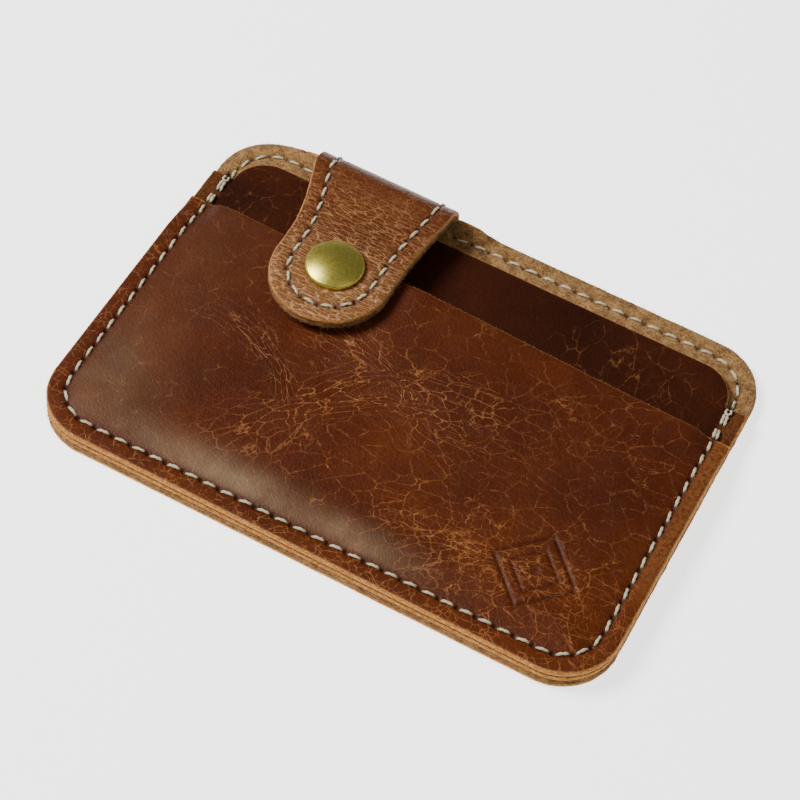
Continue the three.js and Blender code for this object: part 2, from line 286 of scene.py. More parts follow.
def triangulate(outline, inner):
    """The points and triangles over an outline, and where its own points are among them."""
    points = [tuple(p) for p in np.vstack([outline, inner])]
    edges = [(i, (i + 1) % len(outline)) for i in range(len(outline))]
    made = geometry.delaunay_2d_cdt(points, edges, [], 1, 1e-6)
    flat = np.array([tuple(p) for p in made[0]])
    origin = made[3]
    loop = np.full(len(outline), -1)
    for i, sources in enumerate(origin):
        for source in sources:
            if source < len(outline):
                loop[source] = i
    return flat, np.array([f[:3] for f in made[2]]), loop


def mesh_object(name, points, faces, attributes, smooth_angle=50):
    """A mesh in metres with one value or vector per point for each attribute."""
    mesh = bpy.data.meshes.new(name)
    mesh.from_pydata((points * MM).tolist(), [], [list(map(int, f)) for f in faces])
    for label, values in attributes.items():
        if values.ndim == 2:
            layer = mesh.attributes.new(label, "FLOAT_VECTOR", "POINT")
            layer.data.foreach_set("vector", values.astype(np.float32).ravel())
        else:
            layer = mesh.attributes.new(label, "FLOAT", "POINT")
            layer.data.foreach_set("value", values.astype(np.float32))
    mesh.shade_smooth()
    mesh.set_sharp_from_angle(angle=math.radians(smooth_angle))
    mesh.update()
    obj = bpy.data.objects.new(name, mesh)
    bpy.context.scene.collection.objects.link(obj)
    return obj


def tube_faces(base, rings, sides, closed=True):
    """Faces between rings of points that start at a base number and, if closed, its two ends."""
    faces = []
    for low in range(base, base + (rings - 1) * sides, sides):
        for k in range(sides):
            j = (k + 1) % sides
            faces.append((low + k, low + j, low + sides + j, low + sides + k))
    if closed:
        faces.append(tuple(range(base, base + sides))[::-1])
        faces.append(tuple(range(base + (rings - 1) * sides, base + rings * sides)))
    return faces


def sheet(name, outline, low, high, place, finished=None, seams=(), step=1.0,
          edge_radius=0.3, seed=1, rough=0.025, paint=None, detail=None):
    """A sheet of leather: outline in flat (x, s), low and high give h, place wraps it.

    finished is the route of edges that are rounded and worn; other edges are plain cuts that
    meet the next sheet. seams are routes with fine points beside them, and detail is more fine
    points. paint gives more values for the material at flat points.
    """
    finished = [close(outline)] if finished is None else finished
    taken = [edge_points(outline)] + [seam_points(route) for route in seams]
    if detail is not None:
        taken.append(detail)
    taken = np.vstack(taken)
    taken = taken[distance(taken, close(outline)) > 0.05]
    fill = hex_points(outline.min(0), outline.max(0), step)
    fill = thinned(fill, np.vstack([taken, outline]), step * 0.62)
    flat, triangles, ring = triangulate(outline, np.vstack([taken, fill]))

    edge = np.full(len(flat), FAR)
    for route in finished:
        edge = np.minimum(edge, distance(flat, route))
    drop = np.maximum(0, edge_radius - edge)
    round_off = edge_radius - np.sqrt(np.maximum(edge_radius**2 - drop**2, 0))
    upper = np.column_stack([flat, high(flat) - round_off])
    lower = np.column_stack([flat, low(flat) + round_off])
    count = len(flat)

    is_cut = edge[ring] > edge_radius
    normals = -inward_normals(outline)
    noise = np.random.default_rng(seed)
    ragged = rough * smooth_noise(noise, len(ring))
    walls = []
    for share in WALL_SHARES:
        bulge = 0.05 + ragged + rough * 0.6 * smooth_noise(noise, len(ring))
        bulge = np.where(is_cut, 0, bulge)
        h = upper[ring, 2] * (1 - share) + lower[ring, 2] * share
        walls.append(np.column_stack([outline + normals * bulge[:, None], h]))
    points = np.vstack([upper, lower, *walls])

    faces = [tuple(t) for t in triangles]
    faces += [tuple(t[::-1] + count) for t in triangles]
    rows = [ring] + [2 * count + k * len(ring) + np.arange(len(ring)) for k in range(len(walls))]
    rows.append(ring + count)
    for above, below in zip(rows[:-1], rows[1:]):
        for i in range(len(ring)):
            j = (i + 1) % len(ring)
            faces.append((above[i], below[i], below[j], above[j]))

    worn = np.clip(1 - edge / WORN_REACH, 0, 1)
    hole = np.zeros(len(points))
    seam = np.full(len(points), 5.0)
    for route in seams:
        gap, away = hole_gap(points, route)
        hole = np.maximum(hole, np.exp(-((away / (HOLE_RADIUS * 1.1)) ** 4)))
        seam = np.minimum(seam, gap)
    hole[2 * count:] = 0
    values = {
        "leather": points.copy(),
        "edge": np.concatenate([worn, worn, *[np.where(is_cut, 0, 1.0)] * len(walls)]),
        "seam": seam,
        "hole": hole,
    }
    if paint:
        values.update(paint(points))
    return mesh_object(name, place(points), faces, values)


def smooth_noise(source, count):
    """Uneven values round an outline, a few points wide."""
    raw = source.standard_normal(count)
    return (raw + np.roll(raw, 1) + 0.6 * np.roll(raw, 2)) / 1.5


def flat_place(points):
    return points


def wrap_place(points):
    """Wraps flat (x, s, h) round the fold: s runs from the fold's start, h out from its middle."""
    x, s, h = points.T
    angle = np.clip(s / FOLD_RADIUS, 0, math.pi)
    radius = FOLD_RADIUS + h
    y = FOLD_START + radius * np.sin(angle) + np.minimum(s, 0) - np.maximum(s - FOLD_TURN, 0)
    z = FOLD_Z - radius * np.cos(angle)
    return np.column_stack([x, y, z])


# ---------- outlines and seams

def body_outline(up_to, inset=0.0, step=0.6):
    """The body's edge, moved in: down the left side, along the bottom and up the right side."""
    side, low, c = SIDE - inset, inset - TOP, CORNER_RADIUS - inset
    return [
        line((-side, up_to), (-side, low + c), step),
        arc((-side + c, low + c), c, 180, 270, step),
        line((-side + c, low), (side - c, low), step),
        arc((side - c, low + c), c, 270, 360, step),
        line((side, low + c), (side, up_to), step),
    ]


def front_outline():
    return np.vstack([*body_outline(FRONT_MOUTH), line((SIDE, FRONT_MOUTH), (-SIDE, FRONT_MOUTH), 0.6)])


def middle_outline():
    tab = SEAM_SIDE - 0.9
    c = MIDDLE_CORNER_RADIUS
    return np.vstack([
        *body_outline(SHOULDER),
        line((SIDE, SHOULDER), (tab, SHOULDER), 0.6),
        line((tab, SHOULDER), (tab, MIDDLE_MOUTH - c), 0.6),
        arc((tab - c, MIDDLE_MOUTH - c), c, 0, 90, 0.5),
        line((tab - c, MIDDLE_MOUTH), (-tab + c, MIDDLE_MOUTH), 0.6),
        arc((-tab + c, MIDDLE_MOUTH - c), c, 90, 180, 0.5),
        line((-tab, MIDDLE_MOUTH - c), (-tab, SHOULDER), 0.6),
        line((-tab, SHOULDER), (-SIDE, SHOULDER), 0.6),
    ])


def back_edges():
    """The back sheet's worn edge, from the left of the strap's root round to its right."""
    c = CORNER_RADIUS
    return np.vstack([
        line((ROOT_LEFT, TOP), (-SIDE + c, TOP), 0.5),
        arc((-SIDE + c, TOP - c), c, 90, 180, 0.6),
        *body_outline(TOP - c),
        arc((SIDE - c, TOP - c), c, 0, 90, 0.6),
        line((SIDE - c, TOP), (ROOT_RIGHT, TOP), 0.5),
        [(ROOT_RIGHT, TOP)],
    ])


def back_outline():
    notch = [
        line((ROOT_RIGHT, TOP), (ROOT_RIGHT, FOLD_START), 0.5),
        line((ROOT_RIGHT, FOLD_START), (ROOT_LEFT, FOLD_START), 0.6),
        line((ROOT_LEFT, FOLD_START), (ROOT_LEFT, TOP), 0.5),
    ]
    return np.vstack([back_edges()[:-1], *notch])


def strap_side(inset, start_s, step=0.5):
    """The strap's edge in flat (x, s), moved in: down the left, round the tip, up the right."""
    root = (ROOT_RIGHT - ROOT_LEFT) / 2 - inset
    half = STRAP_WIDTH / 2 - inset
    tip_s = FOLD_TURN + FOLD_START - TIP_Y - STRAP_WIDTH / 2
    flare_s = min(FOLD_TURN + STRAP_FLARE, tip_s)
    bend_s = (FOLD_TURN + 2 * flare_s) / 3
    left, right = SNAP_X - half, SNAP_X + half
    return np.vstack([
        line((ROOT_X - root, start_s), (ROOT_X - root, FOLD_TURN), step),
        bezier((ROOT_X - root, FOLD_TURN), (left, bend_s), (left, flare_s), step),
        line((left, flare_s), (left, tip_s), step),
        arc((SNAP_X, tip_s), half, 180, 0, step),
        line((right, tip_s), (right, flare_s), step),
        bezier((right, flare_s), (right, bend_s), (ROOT_X + root, FOLD_TURN), step),
        line((ROOT_X + root, FOLD_TURN), (ROOT_X + root, start_s), step),
        [(ROOT_X + root, start_s)],
    ])


def seam_route(up_to):
    return np.vstack([*body_outline(up_to, SEAM_INSET, 0.5), [(SEAM_SIDE, up_to)]])


def rim_route(sign):
    """The rim seam in the plane, from a shoulder round the corner to the strap's root."""
    top = TOP - SEAM_INSET
    c = CORNER_RADIUS - SEAM_INSET
    root = (ROOT_RIGHT if sign > 0 else ROOT_LEFT) + sign * 0.4
    turn = (0, 90) if sign > 0 else (180, 90)
    return np.vstack([
        line((sign * SEAM_SIDE, SHOULDER), (sign * SEAM_SIDE, top - c), 0.5),
        arc((sign * (SEAM_SIDE - c), top - c), c, *turn, 0.5),
        line((sign * (SEAM_SIDE - c), top), (root, top), 0.5),
        [(root, top)],
    ])


# ---------- heights of the faces

MOUTH_PEAK_X = ROOT_RIGHT + 3.0
MOUTH_LIFT = STRAP_BOTTOM - FRONT_TOP - 0.15
MOUTH_REACH = 26.0
MOUTH_LEFT_REACH = 18.0
MOUTH_RIGHT_END = SIDE - 8.0
SEAT_LIFT = 0.4
SEAT_RADIUS = 4.6
PILLOW_LIFT = 0.62
PILLOW_REACH = 7.5
CORNER_THINNING = 1.1
MARK_DEPTH = 0.3


def front_lift(points):
    """How far the front sheet stands up where the closed strap pulls its mouth open."""
    x, y = points[:, 0], points[:, 1]
    right = np.clip((MOUTH_RIGHT_END - x) / (MOUTH_RIGHT_END - MOUTH_PEAK_X), 0, 1) ** 1.3
    left = smooth((x - (MOUTH_PEAK_X - MOUTH_LEFT_REACH)) / MOUTH_LEFT_REACH)
    across = np.where(x > MOUTH_PEAK_X, right, left)
    down = smooth((y - (FRONT_MOUTH - MOUTH_REACH)) / MOUTH_REACH)
    seat = smooth((np.hypot(x - SNAP_X, y - SNAP_Y) - SEAT_RADIUS) / 3.4)
    return MOUTH_LIFT * across * down * seat + SEAT_LIFT * (1 - seat)


def curl_place(points):
    """The back sheets' place: flat, but curling up beside the strap's root as the fold does."""
    x, s, h = points.T
    from_root = np.where(x < ROOT_X, ROOT_LEFT - x, x - ROOT_RIGHT)
    share = smooth(1 - np.maximum(from_root, 0) / CURL_REACH)
    bend = np.maximum(share, 1e-4) / FOLD_RADIUS
    past = np.maximum(s - FOLD_START, 0)
    angle = bend * past
    up = h - BACK_MIDDLE
    y = np.minimum(s, FOLD_START) + np.sin(angle) / bend - up * np.sin(angle)
    z = BACK_MIDDLE + (1 - np.cos(angle)) / bend + up * np.cos(angle)
    return np.column_stack([x, y, z])


def hole_gap(points, route):
    """How far each point is from the seam, and from the nearest hole of the seam."""
    gap, along = nearest_place(points, route)
    length = float(measured(route)[0].sum())
    true_pitch = length / round(length / STITCH_PITCH)
    off = along - true_pitch * np.round(along / true_pitch)
    return gap, np.hypot(gap, off)


def pressed(points, routes):
    """The valley that a tight seam presses into leather, with its awl holes."""
    total = np.zeros(len(points))
    for route in routes:
        gap, away = hole_gap(points, route)
        puckers = 0.75 + 0.35 * np.exp(-((away / PUCKER_REACH) ** 2))
        valley = VALLEY_DEPTH * puckers * np.exp(-((gap / VALLEY_REACH) ** 2))
        total = np.maximum(total, valley + HOLE_DEPTH * np.exp(-((away / HOLE_RADIUS) ** 4)))
    return total


# ---------- stitches

def stitch_run(name, route, height, place, side=1, pitch=STITCH_PITCH, shift=0.0):
    """Separate two-ply stitches between the holes of a route in flat (x, s).

    height gives the face's h at flat points, side says which way the stitch stands proud, and
    shift moves the run sideways.
    """
    holes = spaced(route, pitch)
    rings, sides = 17, 10
    t = np.linspace(0, 1, rings)
    arch = np.sin(math.pi * t) ** 0.5
    runs, marks = [], []
    for number, (a, b) in enumerate(zip(holes[:-1], holes[1:])):
        along = (b - a) / np.linalg.norm(b - a)
        across = np.array([-along[1], along[0]])
        slant = STITCH_SLANT + rng.normal(0, 0.03)
        start = a + along * STITCH_GAP + across * (shift - slant)
        end = b - along * STITCH_GAP + across * (shift + slant)
        middle = start + (end - start) * t[:, None]
        radius = THREAD_RADIUS * (0.5 + 0.4 * arch) * rng.uniform(0.93, 1.07)
        turn = 2 * math.pi * np.arange(sides) / sides
        lobe = 1 + PLY_DEPTH * np.cos(2 * (turn[None, :] - 8.0 * t[:, None] - number))
        reach = radius[:, None] * lobe
        ring = np.empty((rings, sides, 4))
        ring[:, :, :2] = middle[:, None, :] + across * (np.cos(turn)[None, :] * reach)[:, :, None]
        ring[:, :, 2] = (side * (-0.55 + 0.68 * arch))[:, None] + np.sin(turn)[None, :] * reach * 0.8
        ring[:, :, 3] = arch[:, None]
        runs.append(ring)
        marks.append(middle)
    ring = np.array(runs)
    middle = np.array(marks)
    face = height(middle.reshape(-1, 2)).reshape(middle.shape[:2])
    ends = face[:, :1] * (1 - t) + face[:, -1:] * t
    ring[:, :, :, 2] += (0.5 * face + 0.5 * ends)[:, :, None]

    faces = []
    for base in range(0, len(ring) * rings * sides, rings * sides):
        faces += tube_faces(base, rings, sides)
    flat = ring.reshape(-1, 4)
    values = {"leather": flat[:, :3].copy(), "proud": flat[:, 3]}
    return mesh_object(name, place(flat[:, :3]), faces, values, smooth_angle=80)


def fuzz(name, route, heights, place, count, length, spread, outward=1, radius=0.028):
    """Short loose fibres along a cut edge of leather, as thin bent tapered hairs."""
    steps = spaced(route, 0.3)
    normal = -left_of(directions(steps)) * outward
    pick = rng.integers(0, len(steps) - 1, count)
    share = rng.uniform(0, 1, count)[:, None]
    root = steps[pick] * (1 - share) + steps[pick + 1] * share
    lift = rng.uniform(heights[0], heights[1], count)
    lean = rng.normal(0, spread, (count, 3))
    way = unit(np.column_stack([normal[pick], np.zeros(count)]) + lean)
    bend = rng.normal(0, 0.7, (count, 3))
    reach = length * rng.uniform(0.4, 1.0, count)[:, None]
    base = np.column_stack([root - normal[pick] * 0.12, lift])
    side_a = unit(np.cross(way, (0.3, 0.2, 0.9)))
    side_b = np.cross(way, side_a)
    points = []
    for t in (0.0, 0.5, 1.0):
        centre = base + way * reach * t + bend * reach * t * t * 0.35
        thick = radius * (1.0 - 0.75 * t)
        for k in range(3):
            turn = 2 * math.pi * k / 3
            points.append(centre + thick * (math.cos(turn) * side_a + math.sin(turn) * side_b))
    points = np.array(points).transpose(1, 0, 2).reshape(-1, 3)
    faces = []
    for i in range(count):
        faces += tube_faces(i * 9, 3, 3)
    values = {"leather": points.copy(), "edge": np.zeros(len(points))}
    return mesh_object(name, place(points), faces, values)


# ---------- materials

class Nodes:
    """A short way to write a material's node tree."""

    def __init__(self, name):
        self.material = bpy.data.materials.new(name)
        self.material.use_nodes = True
        self.tree = self.material.node_tree
        self.shader = self.tree.nodes["Principled BSDF"]

    def add(self, kind, links=None, **settings):
        node = self.tree.nodes.new("ShaderNode" + kind)
        for key, value in settings.items():
            setattr(node, key, value)
        for socket, value in (links or {}).items():
            self.set(node.inputs[socket], value)
        return node

    def set(self, socket, value):
        if isinstance(value, bpy.types.NodeSocket):
            self.tree.links.new(value, socket)
        else:
            socket.default_value = value

    def attribute(self, name, output="Fac"):
        return self.add("Attribute", attribute_name=name).outputs[output]

    def position(self):
        """Millimetres in the flat sheet, kept by each mesh of this script."""
        return self.attribute("leather", "Vector")

    def object_position(self):
        """Millimetres in the object, for CAD nodes too."""
        return self.stretched(self.add("TexCoord").outputs["Object"], (1000.0, 1000.0, 1000.0))

    def noise(self, vector, scale, detail=4.0, rough=0.55, distortion=0.0):
        links = {"Vector": vector, "Scale": scale, "Detail": detail, "Roughness": rough,
                 "Distortion": distortion}
        return self.add("TexNoise", links).outputs["Fac"]

    def cells(self, vector, scale):
        links = {"Vector": vector, "Scale": scale, "Randomness": 1.0}
        return self.add("TexVoronoi", links, feature="DISTANCE_TO_EDGE").outputs["Distance"]

    def remap(self, value, low, high, to_low=0.0, to_high=1.0):
        links = {"Value": value, "From Min": low, "From Max": high, "To Min": to_low, "To Max": to_high}
        return self.add("MapRange", links).outputs["Result"]

    def math(self, operation, a, b):
        return self.add("Math", {0: a, 1: b}, operation=operation).outputs[0]

    def times(self, a, b):
        return self.math("MULTIPLY", a, b)

    def plus(self, a, b):
        return self.math("ADD", a, b)

    def most(self, a, b):
        return self.math("MAXIMUM", a, b)

    def mix(self, factor, a, b):
        return self.add("Mix", {0: factor, 6: a, 7: b}, data_type="RGBA").outputs[2]

    def ramp(self, value, stops):
        node = self.add("ValToRGB", {"Fac": value})
        elements = node.color_ramp.elements
        while len(elements) < len(stops):
            elements.new(0.5)
        for element, (at, colour) in zip(elements, stops):
            element.position = at
            element.color = colour
        return node.outputs["Color"]

    def stretched(self, vector, scale, turn=0.0):
        links = {"Vector": vector, "Scale": scale, "Rotation": (0, 0, turn)}
        return self.add("Mapping", links).outputs["Vector"]

    def warped(self, vector, scale, amount):
        """The vector pushed about by noise, so that straight cells turn into leather's lines."""
        links = {"Vector": vector, "Scale": scale, "Detail": 4.0, "Roughness": 0.6}
        push = self.add("TexNoise", links)
        centred = self.add("VectorMath", {0: push.outputs["Color"], 1: (0.5, 0.5, 0.5)},
                           operation="SUBTRACT")
        scaled = self.add("VectorMath", {0: centred.outputs[0], "Scale": amount}, operation="SCALE")
        moved = self.add("VectorMath", {0: vector, 1: scaled.outputs[0]}, operation="ADD")
        return moved.outputs[0]

    def bump(self, height, strength, depth):
        links = {"Height": height, "Strength": strength, "Distance": depth}
        return self.add("Bump", links).outputs["Normal"]

    def finish(self, colour, roughness, normal=None, **constants):
        self.set(self.shader.inputs["Base Color"], colour)
        self.set(self.shader.inputs["Roughness"], roughness)
        if normal is not None:
            self.set(self.shader.inputs["Normal"], normal)
        for name, value in constants.items():
            self.set(self.shader.inputs[name.replace("_", " ")], value)
        return self.material


def rgb(r, g, b):
    """A colour given as it looks on a screen, 0 to 255, turned into linear light."""
    def linear(c):
        c /= 255
        return c / 12.92 if c <= 0.04045 else ((c + 0.055) / 1.055) ** 2.4
    return (linear(r), linear(g), linear(b), 1.0)


def raw_edge(n, vector):
    """Colour and height of leather's cut edge: tan fibres, darker where they lie open."""
    streaks = n.noise(n.stretched(vector, (1.0, 1.0, 4.0)), 1.5, 5.0, 0.7)
    specks = n.noise(vector, 5.0, 3.0, 0.7)
    colour = n.ramp(streaks, [(0.32, rgb(108, 64, 26)), (0.5, rgb(168, 112, 54)), (0.7, rgb(214, 162, 98))])
    colour = n.mix(n.remap(specks, 0.5, 0.66, 0.0, 0.8), colour, rgb(78, 42, 16))
    return colour, n.plus(streaks, specks)


def crackle(n, vector, scale, width, warp):
    """Thin lines where the wax has opened, along the edges of warped cells."""
    edge = n.cells(n.warped(vector, 0.55, warp), scale)
    return n.remap(edge, width * 0.25, width, 1.0, 0.0)


def grain_leather(name, dark, mid, light, vein, wrinkle=0.0, vein_amount=1.0, roughness=0.42,
                  gloss=0.35):
    """Waxed pull-up leather: mottled dye, light crackle lines, fine pores and worn edges."""
    n = Nodes(name)
    p = n.position()
    flow = n.attribute("flow", "Vector")
    amount = n.attribute("crackle")
    flat = n.stretched(p, (1.0, 1.0, 0.15))
    mottle = n.noise(flat, 0.055, 5.0, 0.5, 0.4)
    colour = n.ramp(mottle, [(0.22, dark), (0.5, mid), (0.85, light)])
    fine = n.noise(flat, 2.0, 4.0, 0.7)
    colour = n.mix(n.remap(fine, 0.44, 0.66, 0.0, 0.7), colour, dark)
    grit = n.noise(flat, 4.0, 2.0, 0.6)
    colour = n.mix(n.remap(grit, 0.53, 0.68, 0.0, 0.55), colour, light)

    fade = n.noise(flat, 0.25, 4.0, 0.65)
    strength = n.plus(fade, amount)
    lines = n.times(crackle(n, flow, 0.24, 0.02, 1.35), n.remap(strength, 0.55, 0.86, 0.0, 0.9))
    small = n.times(crackle(n, flat, 0.55, 0.04, 0.9), n.remap(strength, 0.74, 1.15, 0.0, 0.8))
    bundle = n.attribute("bundle")
    long = n.times(crackle(n, n.attribute("strand", "Vector"), 0.5, 0.026, 1.1), bundle)
    veins = n.most(lines, small)
    broken = n.remap(n.noise(flat, 0.7, 3.0, 0.7), 0.4, 0.58, 0.1, 1.0)
    long = n.times(long, n.remap(fade, 0.32, 0.48, 0.45, 1.0))
    veins = n.most(n.times(veins, broken), long)
    veins = n.times(veins, vein_amount)
    colour = n.mix(n.remap(strength, 0.85, 1.4, 0.0, 0.4), colour, light)
    worn = n.attribute("worn")
    colour = n.mix(n.times(worn, 0.42), colour, vein)
    worn_dark = n.times(worn, n.remap(fine, 0.45, 0.62, 0.0, 0.7))
    colour = n.mix(worn_dark, colour, dark)
    colour = n.mix(n.times(veins, 0.75), colour, n.mix(worn, vein, dark))
    colour = n.mix(n.times(long, 0.3), colour, rgb(192, 140, 90))

    pores = n.remap(n.cells(n.warped(flat, 0.9, 0.8), 1.3), 0.0, 0.3)
    rough_base = n.remap(n.noise(flat, 0.35, 4.0), 0.3, 0.7, roughness - 0.05, roughness + 0.1)
    height = n.plus(n.times(pores, 0.3), n.times(veins, 0.4))
    height = n.plus(height, n.times(fine, 0.8))
    if wrinkle:
        along = n.add("SeparateXYZ", {0: p}).outputs[1]
        waved = n.warped(n.stretched(flat, (0.34, 1.35, 1.0), 0.1), 0.5, 0.9)
        crease = n.remap(n.cells(waved, 1.15), 0.015, 0.075, 1.0, 0.0)
        short = n.remap(n.cells(n.warped(flat, 0.8, 0.6), 1.1), 0.01, 0.05, 0.4, 0.0)
        crease = n.most(crease, short)
        crease = n.times(crease, n.remap(fade, 0.3, 0.55, 0.35, 1.0))
        crease = n.times(crease, n.remap(along, 10.0, 19.0, 0.1, 1.0))
        tan = n.mix(n.remap(fine, 0.35, 0.65), rgb(98, 57, 26), rgb(130, 86, 46))
        colour = n.mix(n.remap(along, 22.0, 36.0, 0.0, 0.85), colour, tan)
        line_colour = n.mix(n.remap(along, 22.0, 36.0), vein, rgb(204, 156, 106))
        colour = n.mix(n.times(crease, wrinkle), colour, line_colour)
        colour = n.mix(n.remap(along, 7.0, 17.0, 0.7, 0.0), colour, dark)
        height = n.plus(height, n.times(crease, 0.7))

    # Painted sheen: the colour is mixed towards pale grey-brown where the sheet's attribute asks for it.
    painted_sheen = n.attribute("painted_sheen")
    colour = n.mix(n.times(painted_sheen, n.remap(fade, 0.3, 0.7, 0.55, 1.0)), colour, rgb(138, 116, 88))

    # Darker tone patches, and painted shade in the lozenge's pressed lines.
    colour = n.mix(n.attribute("tone_and_groove_shade"), colour, dark)
    edge = n.attribute("edge")
    edge_colour, edge_height = raw_edge(n, p)
    colour = n.mix(n.remap(edge, 0.35, 0.9), colour, edge_colour)
    # Painted shade: darker beside the seams, in their pressed valleys.
    colour = n.mix(n.remap(n.attribute("seam"), 0.15, 0.9, 0.5, 0.0), colour, dark)
    # Painted shade: the awl holes' shallow pits are painted near black.
    colour = n.mix(n.times(n.attribute("hole"), 0.75), colour, rgb(20, 11, 6))
    height = n.mix(n.remap(edge, 0.3, 0.9), height, n.times(edge_height, 0.9))
    rough_all = n.plus(rough_base, n.times(edge, 0.35))
    return n.finish(colour, rough_all, n.bump(height, 0.55, 0.0002), Specular_IOR_Level=gloss)


def suede_leather(name, dark, mid, light):
    """Split suede: short fibres lying all ways, patchy tan."""
    n = Nodes(name)
    p = n.position()
    fibres = n.noise(n.warped(p, 1.5, 0.9), 2.6, 6.0, 0.75)
    patches = n.noise(p, 0.5, 4.0, 0.6)
    both = n.plus(n.times(fibres, 0.6), n.times(patches, 0.4))
    colour = n.ramp(both, [(0.39, dark), (0.48, mid), (0.59, light)])
    specks = n.noise(p, 1.9, 2.0, 0.8)
    colour = n.mix(n.remap(specks, 0.53, 0.66, 0.0, 0.75), colour, dark)
    clumps = n.noise(p, 4.2, 3.0, 0.7)
    colour = n.mix(n.remap(clumps, 0.52, 0.64, 0.0, 0.25), colour, light)
    colour = n.mix(n.times(n.attribute("edge"), 0.3), colour, dark)
    # Painted shade: the awl holes' shallow pits are painted near black.
    colour = n.mix(n.times(n.attribute("hole"), 0.8), colour, rgb(30, 18, 10))
    height = n.plus(fibres, n.math("SUBTRACT", clumps, n.times(specks, 0.8)))
    return n.finish(colour, 0.95, n.bump(height, 0.9, 0.0005), Specular_IOR_Level=0.1,
                    Sheen_Weight=0.12, Sheen_Roughness=0.5)


def thread_material():
    """Twisted off-white thread, painted greyer and darker as shade where it dives into its hole."""
    n = Nodes("thread")
    p = n.position()
    fuzz_noise = n.noise(p, 6.0, 3.0, 0.7)
    soil = n.noise(p, 0.35, 2.0, 0.6)
    colour = n.ramp(fuzz_noise, [(0.3, rgb(152, 142, 114)), (0.55, rgb(200, 190, 162)),
                                 (0.75, rgb(226, 218, 194))])
    colour = n.mix(n.remap(soil, 0.4, 0.7, 0.0, 0.4), colour, rgb(150, 140, 110))
    # Painted shade: darker towards the ends of each stitch, where the thread dips into its hole.
    colour = n.mix(n.remap(n.attribute("proud"), 0.85, 0.4), colour, rgb(66, 54, 36))
    return n.finish(colour, 0.8, n.bump(fuzz_noise, 0.4, 0.0001), Specular_IOR_Level=0.2)


def brass_material():
    """Antique brass: olive gold with faint brushing and dark specks."""
    n = Nodes("antique_brass")
    vector = n.object_position()
    tarnish = n.noise(vector, 2.4, 5.0, 0.65)
    colour = n.ramp(tarnish, [(0.3, rgb(172, 156, 64)), (0.5, rgb(188, 173, 80)), (0.7, rgb(202, 188, 98))])
    specks = n.noise(vector, 7.0, 2.0, 0.6)
    colour = n.mix(n.remap(specks, 0.55, 0.7, 0.0, 0.4), colour, rgb(96, 82, 30))
    rough = n.remap(tarnish, 0.3, 0.7, 0.3, 0.38)
    return n.finish(colour, rough, n.bump(specks, 0.15, 0.00005), Metallic=1.0)


def steel_material():
    n = Nodes("spring_steel")
    vector = n.object_position()
    drawn = n.noise(vector, 4.0, 3.0)
    colour = n.ramp(drawn, [(0.35, rgb(150, 148, 142)), (0.65, rgb(196, 194, 188))])
    return n.finish(colour, n.remap(drawn, 0.3, 0.7, 0.25, 0.4), Metallic=1.0)


front_leather = grain_leather(
    "front_leather", rgb(53, 19, 6), rgb(74, 30, 8), rgb(97, 45, 14), rgb(158, 100, 51), gloss=0.12)
middle_leather = grain_leather(
    "middle_leather", rgb(32, 11, 5), rgb(50, 20, 8), rgb(68, 30, 12), rgb(128, 80, 44), vein_amount=0.8,
    gloss=0.06)
back_leather = grain_leather(
    "back_leather", rgb(46, 19, 7), rgb(70, 32, 11), rgb(92, 48, 18), rgb(134, 82, 38), gloss=0.2)
strap_leather = grain_leather(
    "strap_leather", rgb(58, 22, 6), rgb(82, 36, 10), rgb(110, 57, 20), rgb(168, 116, 64),
    wrinkle=0.8, vein_amount=0.8, roughness=0.35, gloss=0.19)
suede = suede_leather("suede", rgb(96, 60, 24), rgb(152, 108, 56), rgb(198, 152, 94))
thread = thread_material()
brass = brass_material()
steel = steel_material()


# ---------- where the leather is marked

def spot(q, x, y, reach_x, reach_y):
    return np.exp(-(((q[:, 0] - x) / reach_x) ** 2) - ((q[:, 1] - y) / reach_y) ** 2)


def soft_route(*turns, step=0.4):
    """A smooth curve near a few turning points, finely stepped."""
    points = spaced(np.array(turns, float), step)
    for _ in range(60):
        points[1:-1] = (points[:-2] + 2 * points[1:-1] + points[2:]) / 4
    return points


def beside(q, route):
    """How far points are to the left of a route, and how far along it."""
    across = left_of(directions(route)) * 0.05
    gap, along = nearest_place(q, route)
    is_left = distance(q, route + across) < distance(q, route - across)
    return np.where(is_left, gap, -gap), along


def creases(q):
    """Bundles of long strands that meet below the strap: their coordinates and their strength."""
    strand, best = np.column_stack([q[:, 0], q[:, 1], q[:, 2] * 0.1]), np.zeros(len(q))
    for route, knot, spread, reach in CREASES:
        gap, along = beside(q, route)
        width = 1.7 + spread * np.abs(along - knot)
        power = np.exp(-((gap / width) ** 2)) * np.exp(-((along - knot) / reach) ** 2)
        ends = smooth(along / 2) * smooth((np.linalg.norm(q[:, :2] - route[-1], axis=1)) / 3)
        power *= ends
        here = np.column_stack([along * 0.42 + 40 * spread, gap / width * 5.0, q[:, 2] * 0.1])
        strand = np.where((power > best)[:, None], here, strand)
        best = np.maximum(best, power)
    return strand, best


# Each bundle's route, how far along it the knot is, how fast it spreads, and how far it reaches.
CREASES = [
    (soft_route((-19, -34), (-15, -18), (-10, -7), (-3, -0.5), (8, 0), (20, 1), (32, 9)), 37.0, 0.2, 26.0),
    (soft_route((-24, 4), (-12, 2), (-3, -0.5), (8, -7), (22, -10), (34, -8)), 21.5, 0.17, 18.0),
    (soft_route((-27, -36), (-21, -25), (-14, -14), (-2, -6), (14, -3)), 40.0, 0.13, 30.0),
    (soft_route((-50, -3), (-38, -2), (-28, -4), (-19, -9), (-13, -18)), 30.0, 0.1, 14.0),
    (soft_route((12, -31), (20, -26), (32, -23), (46, -24)), 18.0, 0.3, 16.0),
]


def front_flow(q):
    """Coordinates for the open network of crackle, a little longer than wide."""
    turned = q[:, :2] @ np.array([[0.94, -0.34], [0.34, 0.94]])
    return np.column_stack([turned[:, 0] * 0.8, turned[:, 1] * 1.15, q[:, 2] * 0.1])


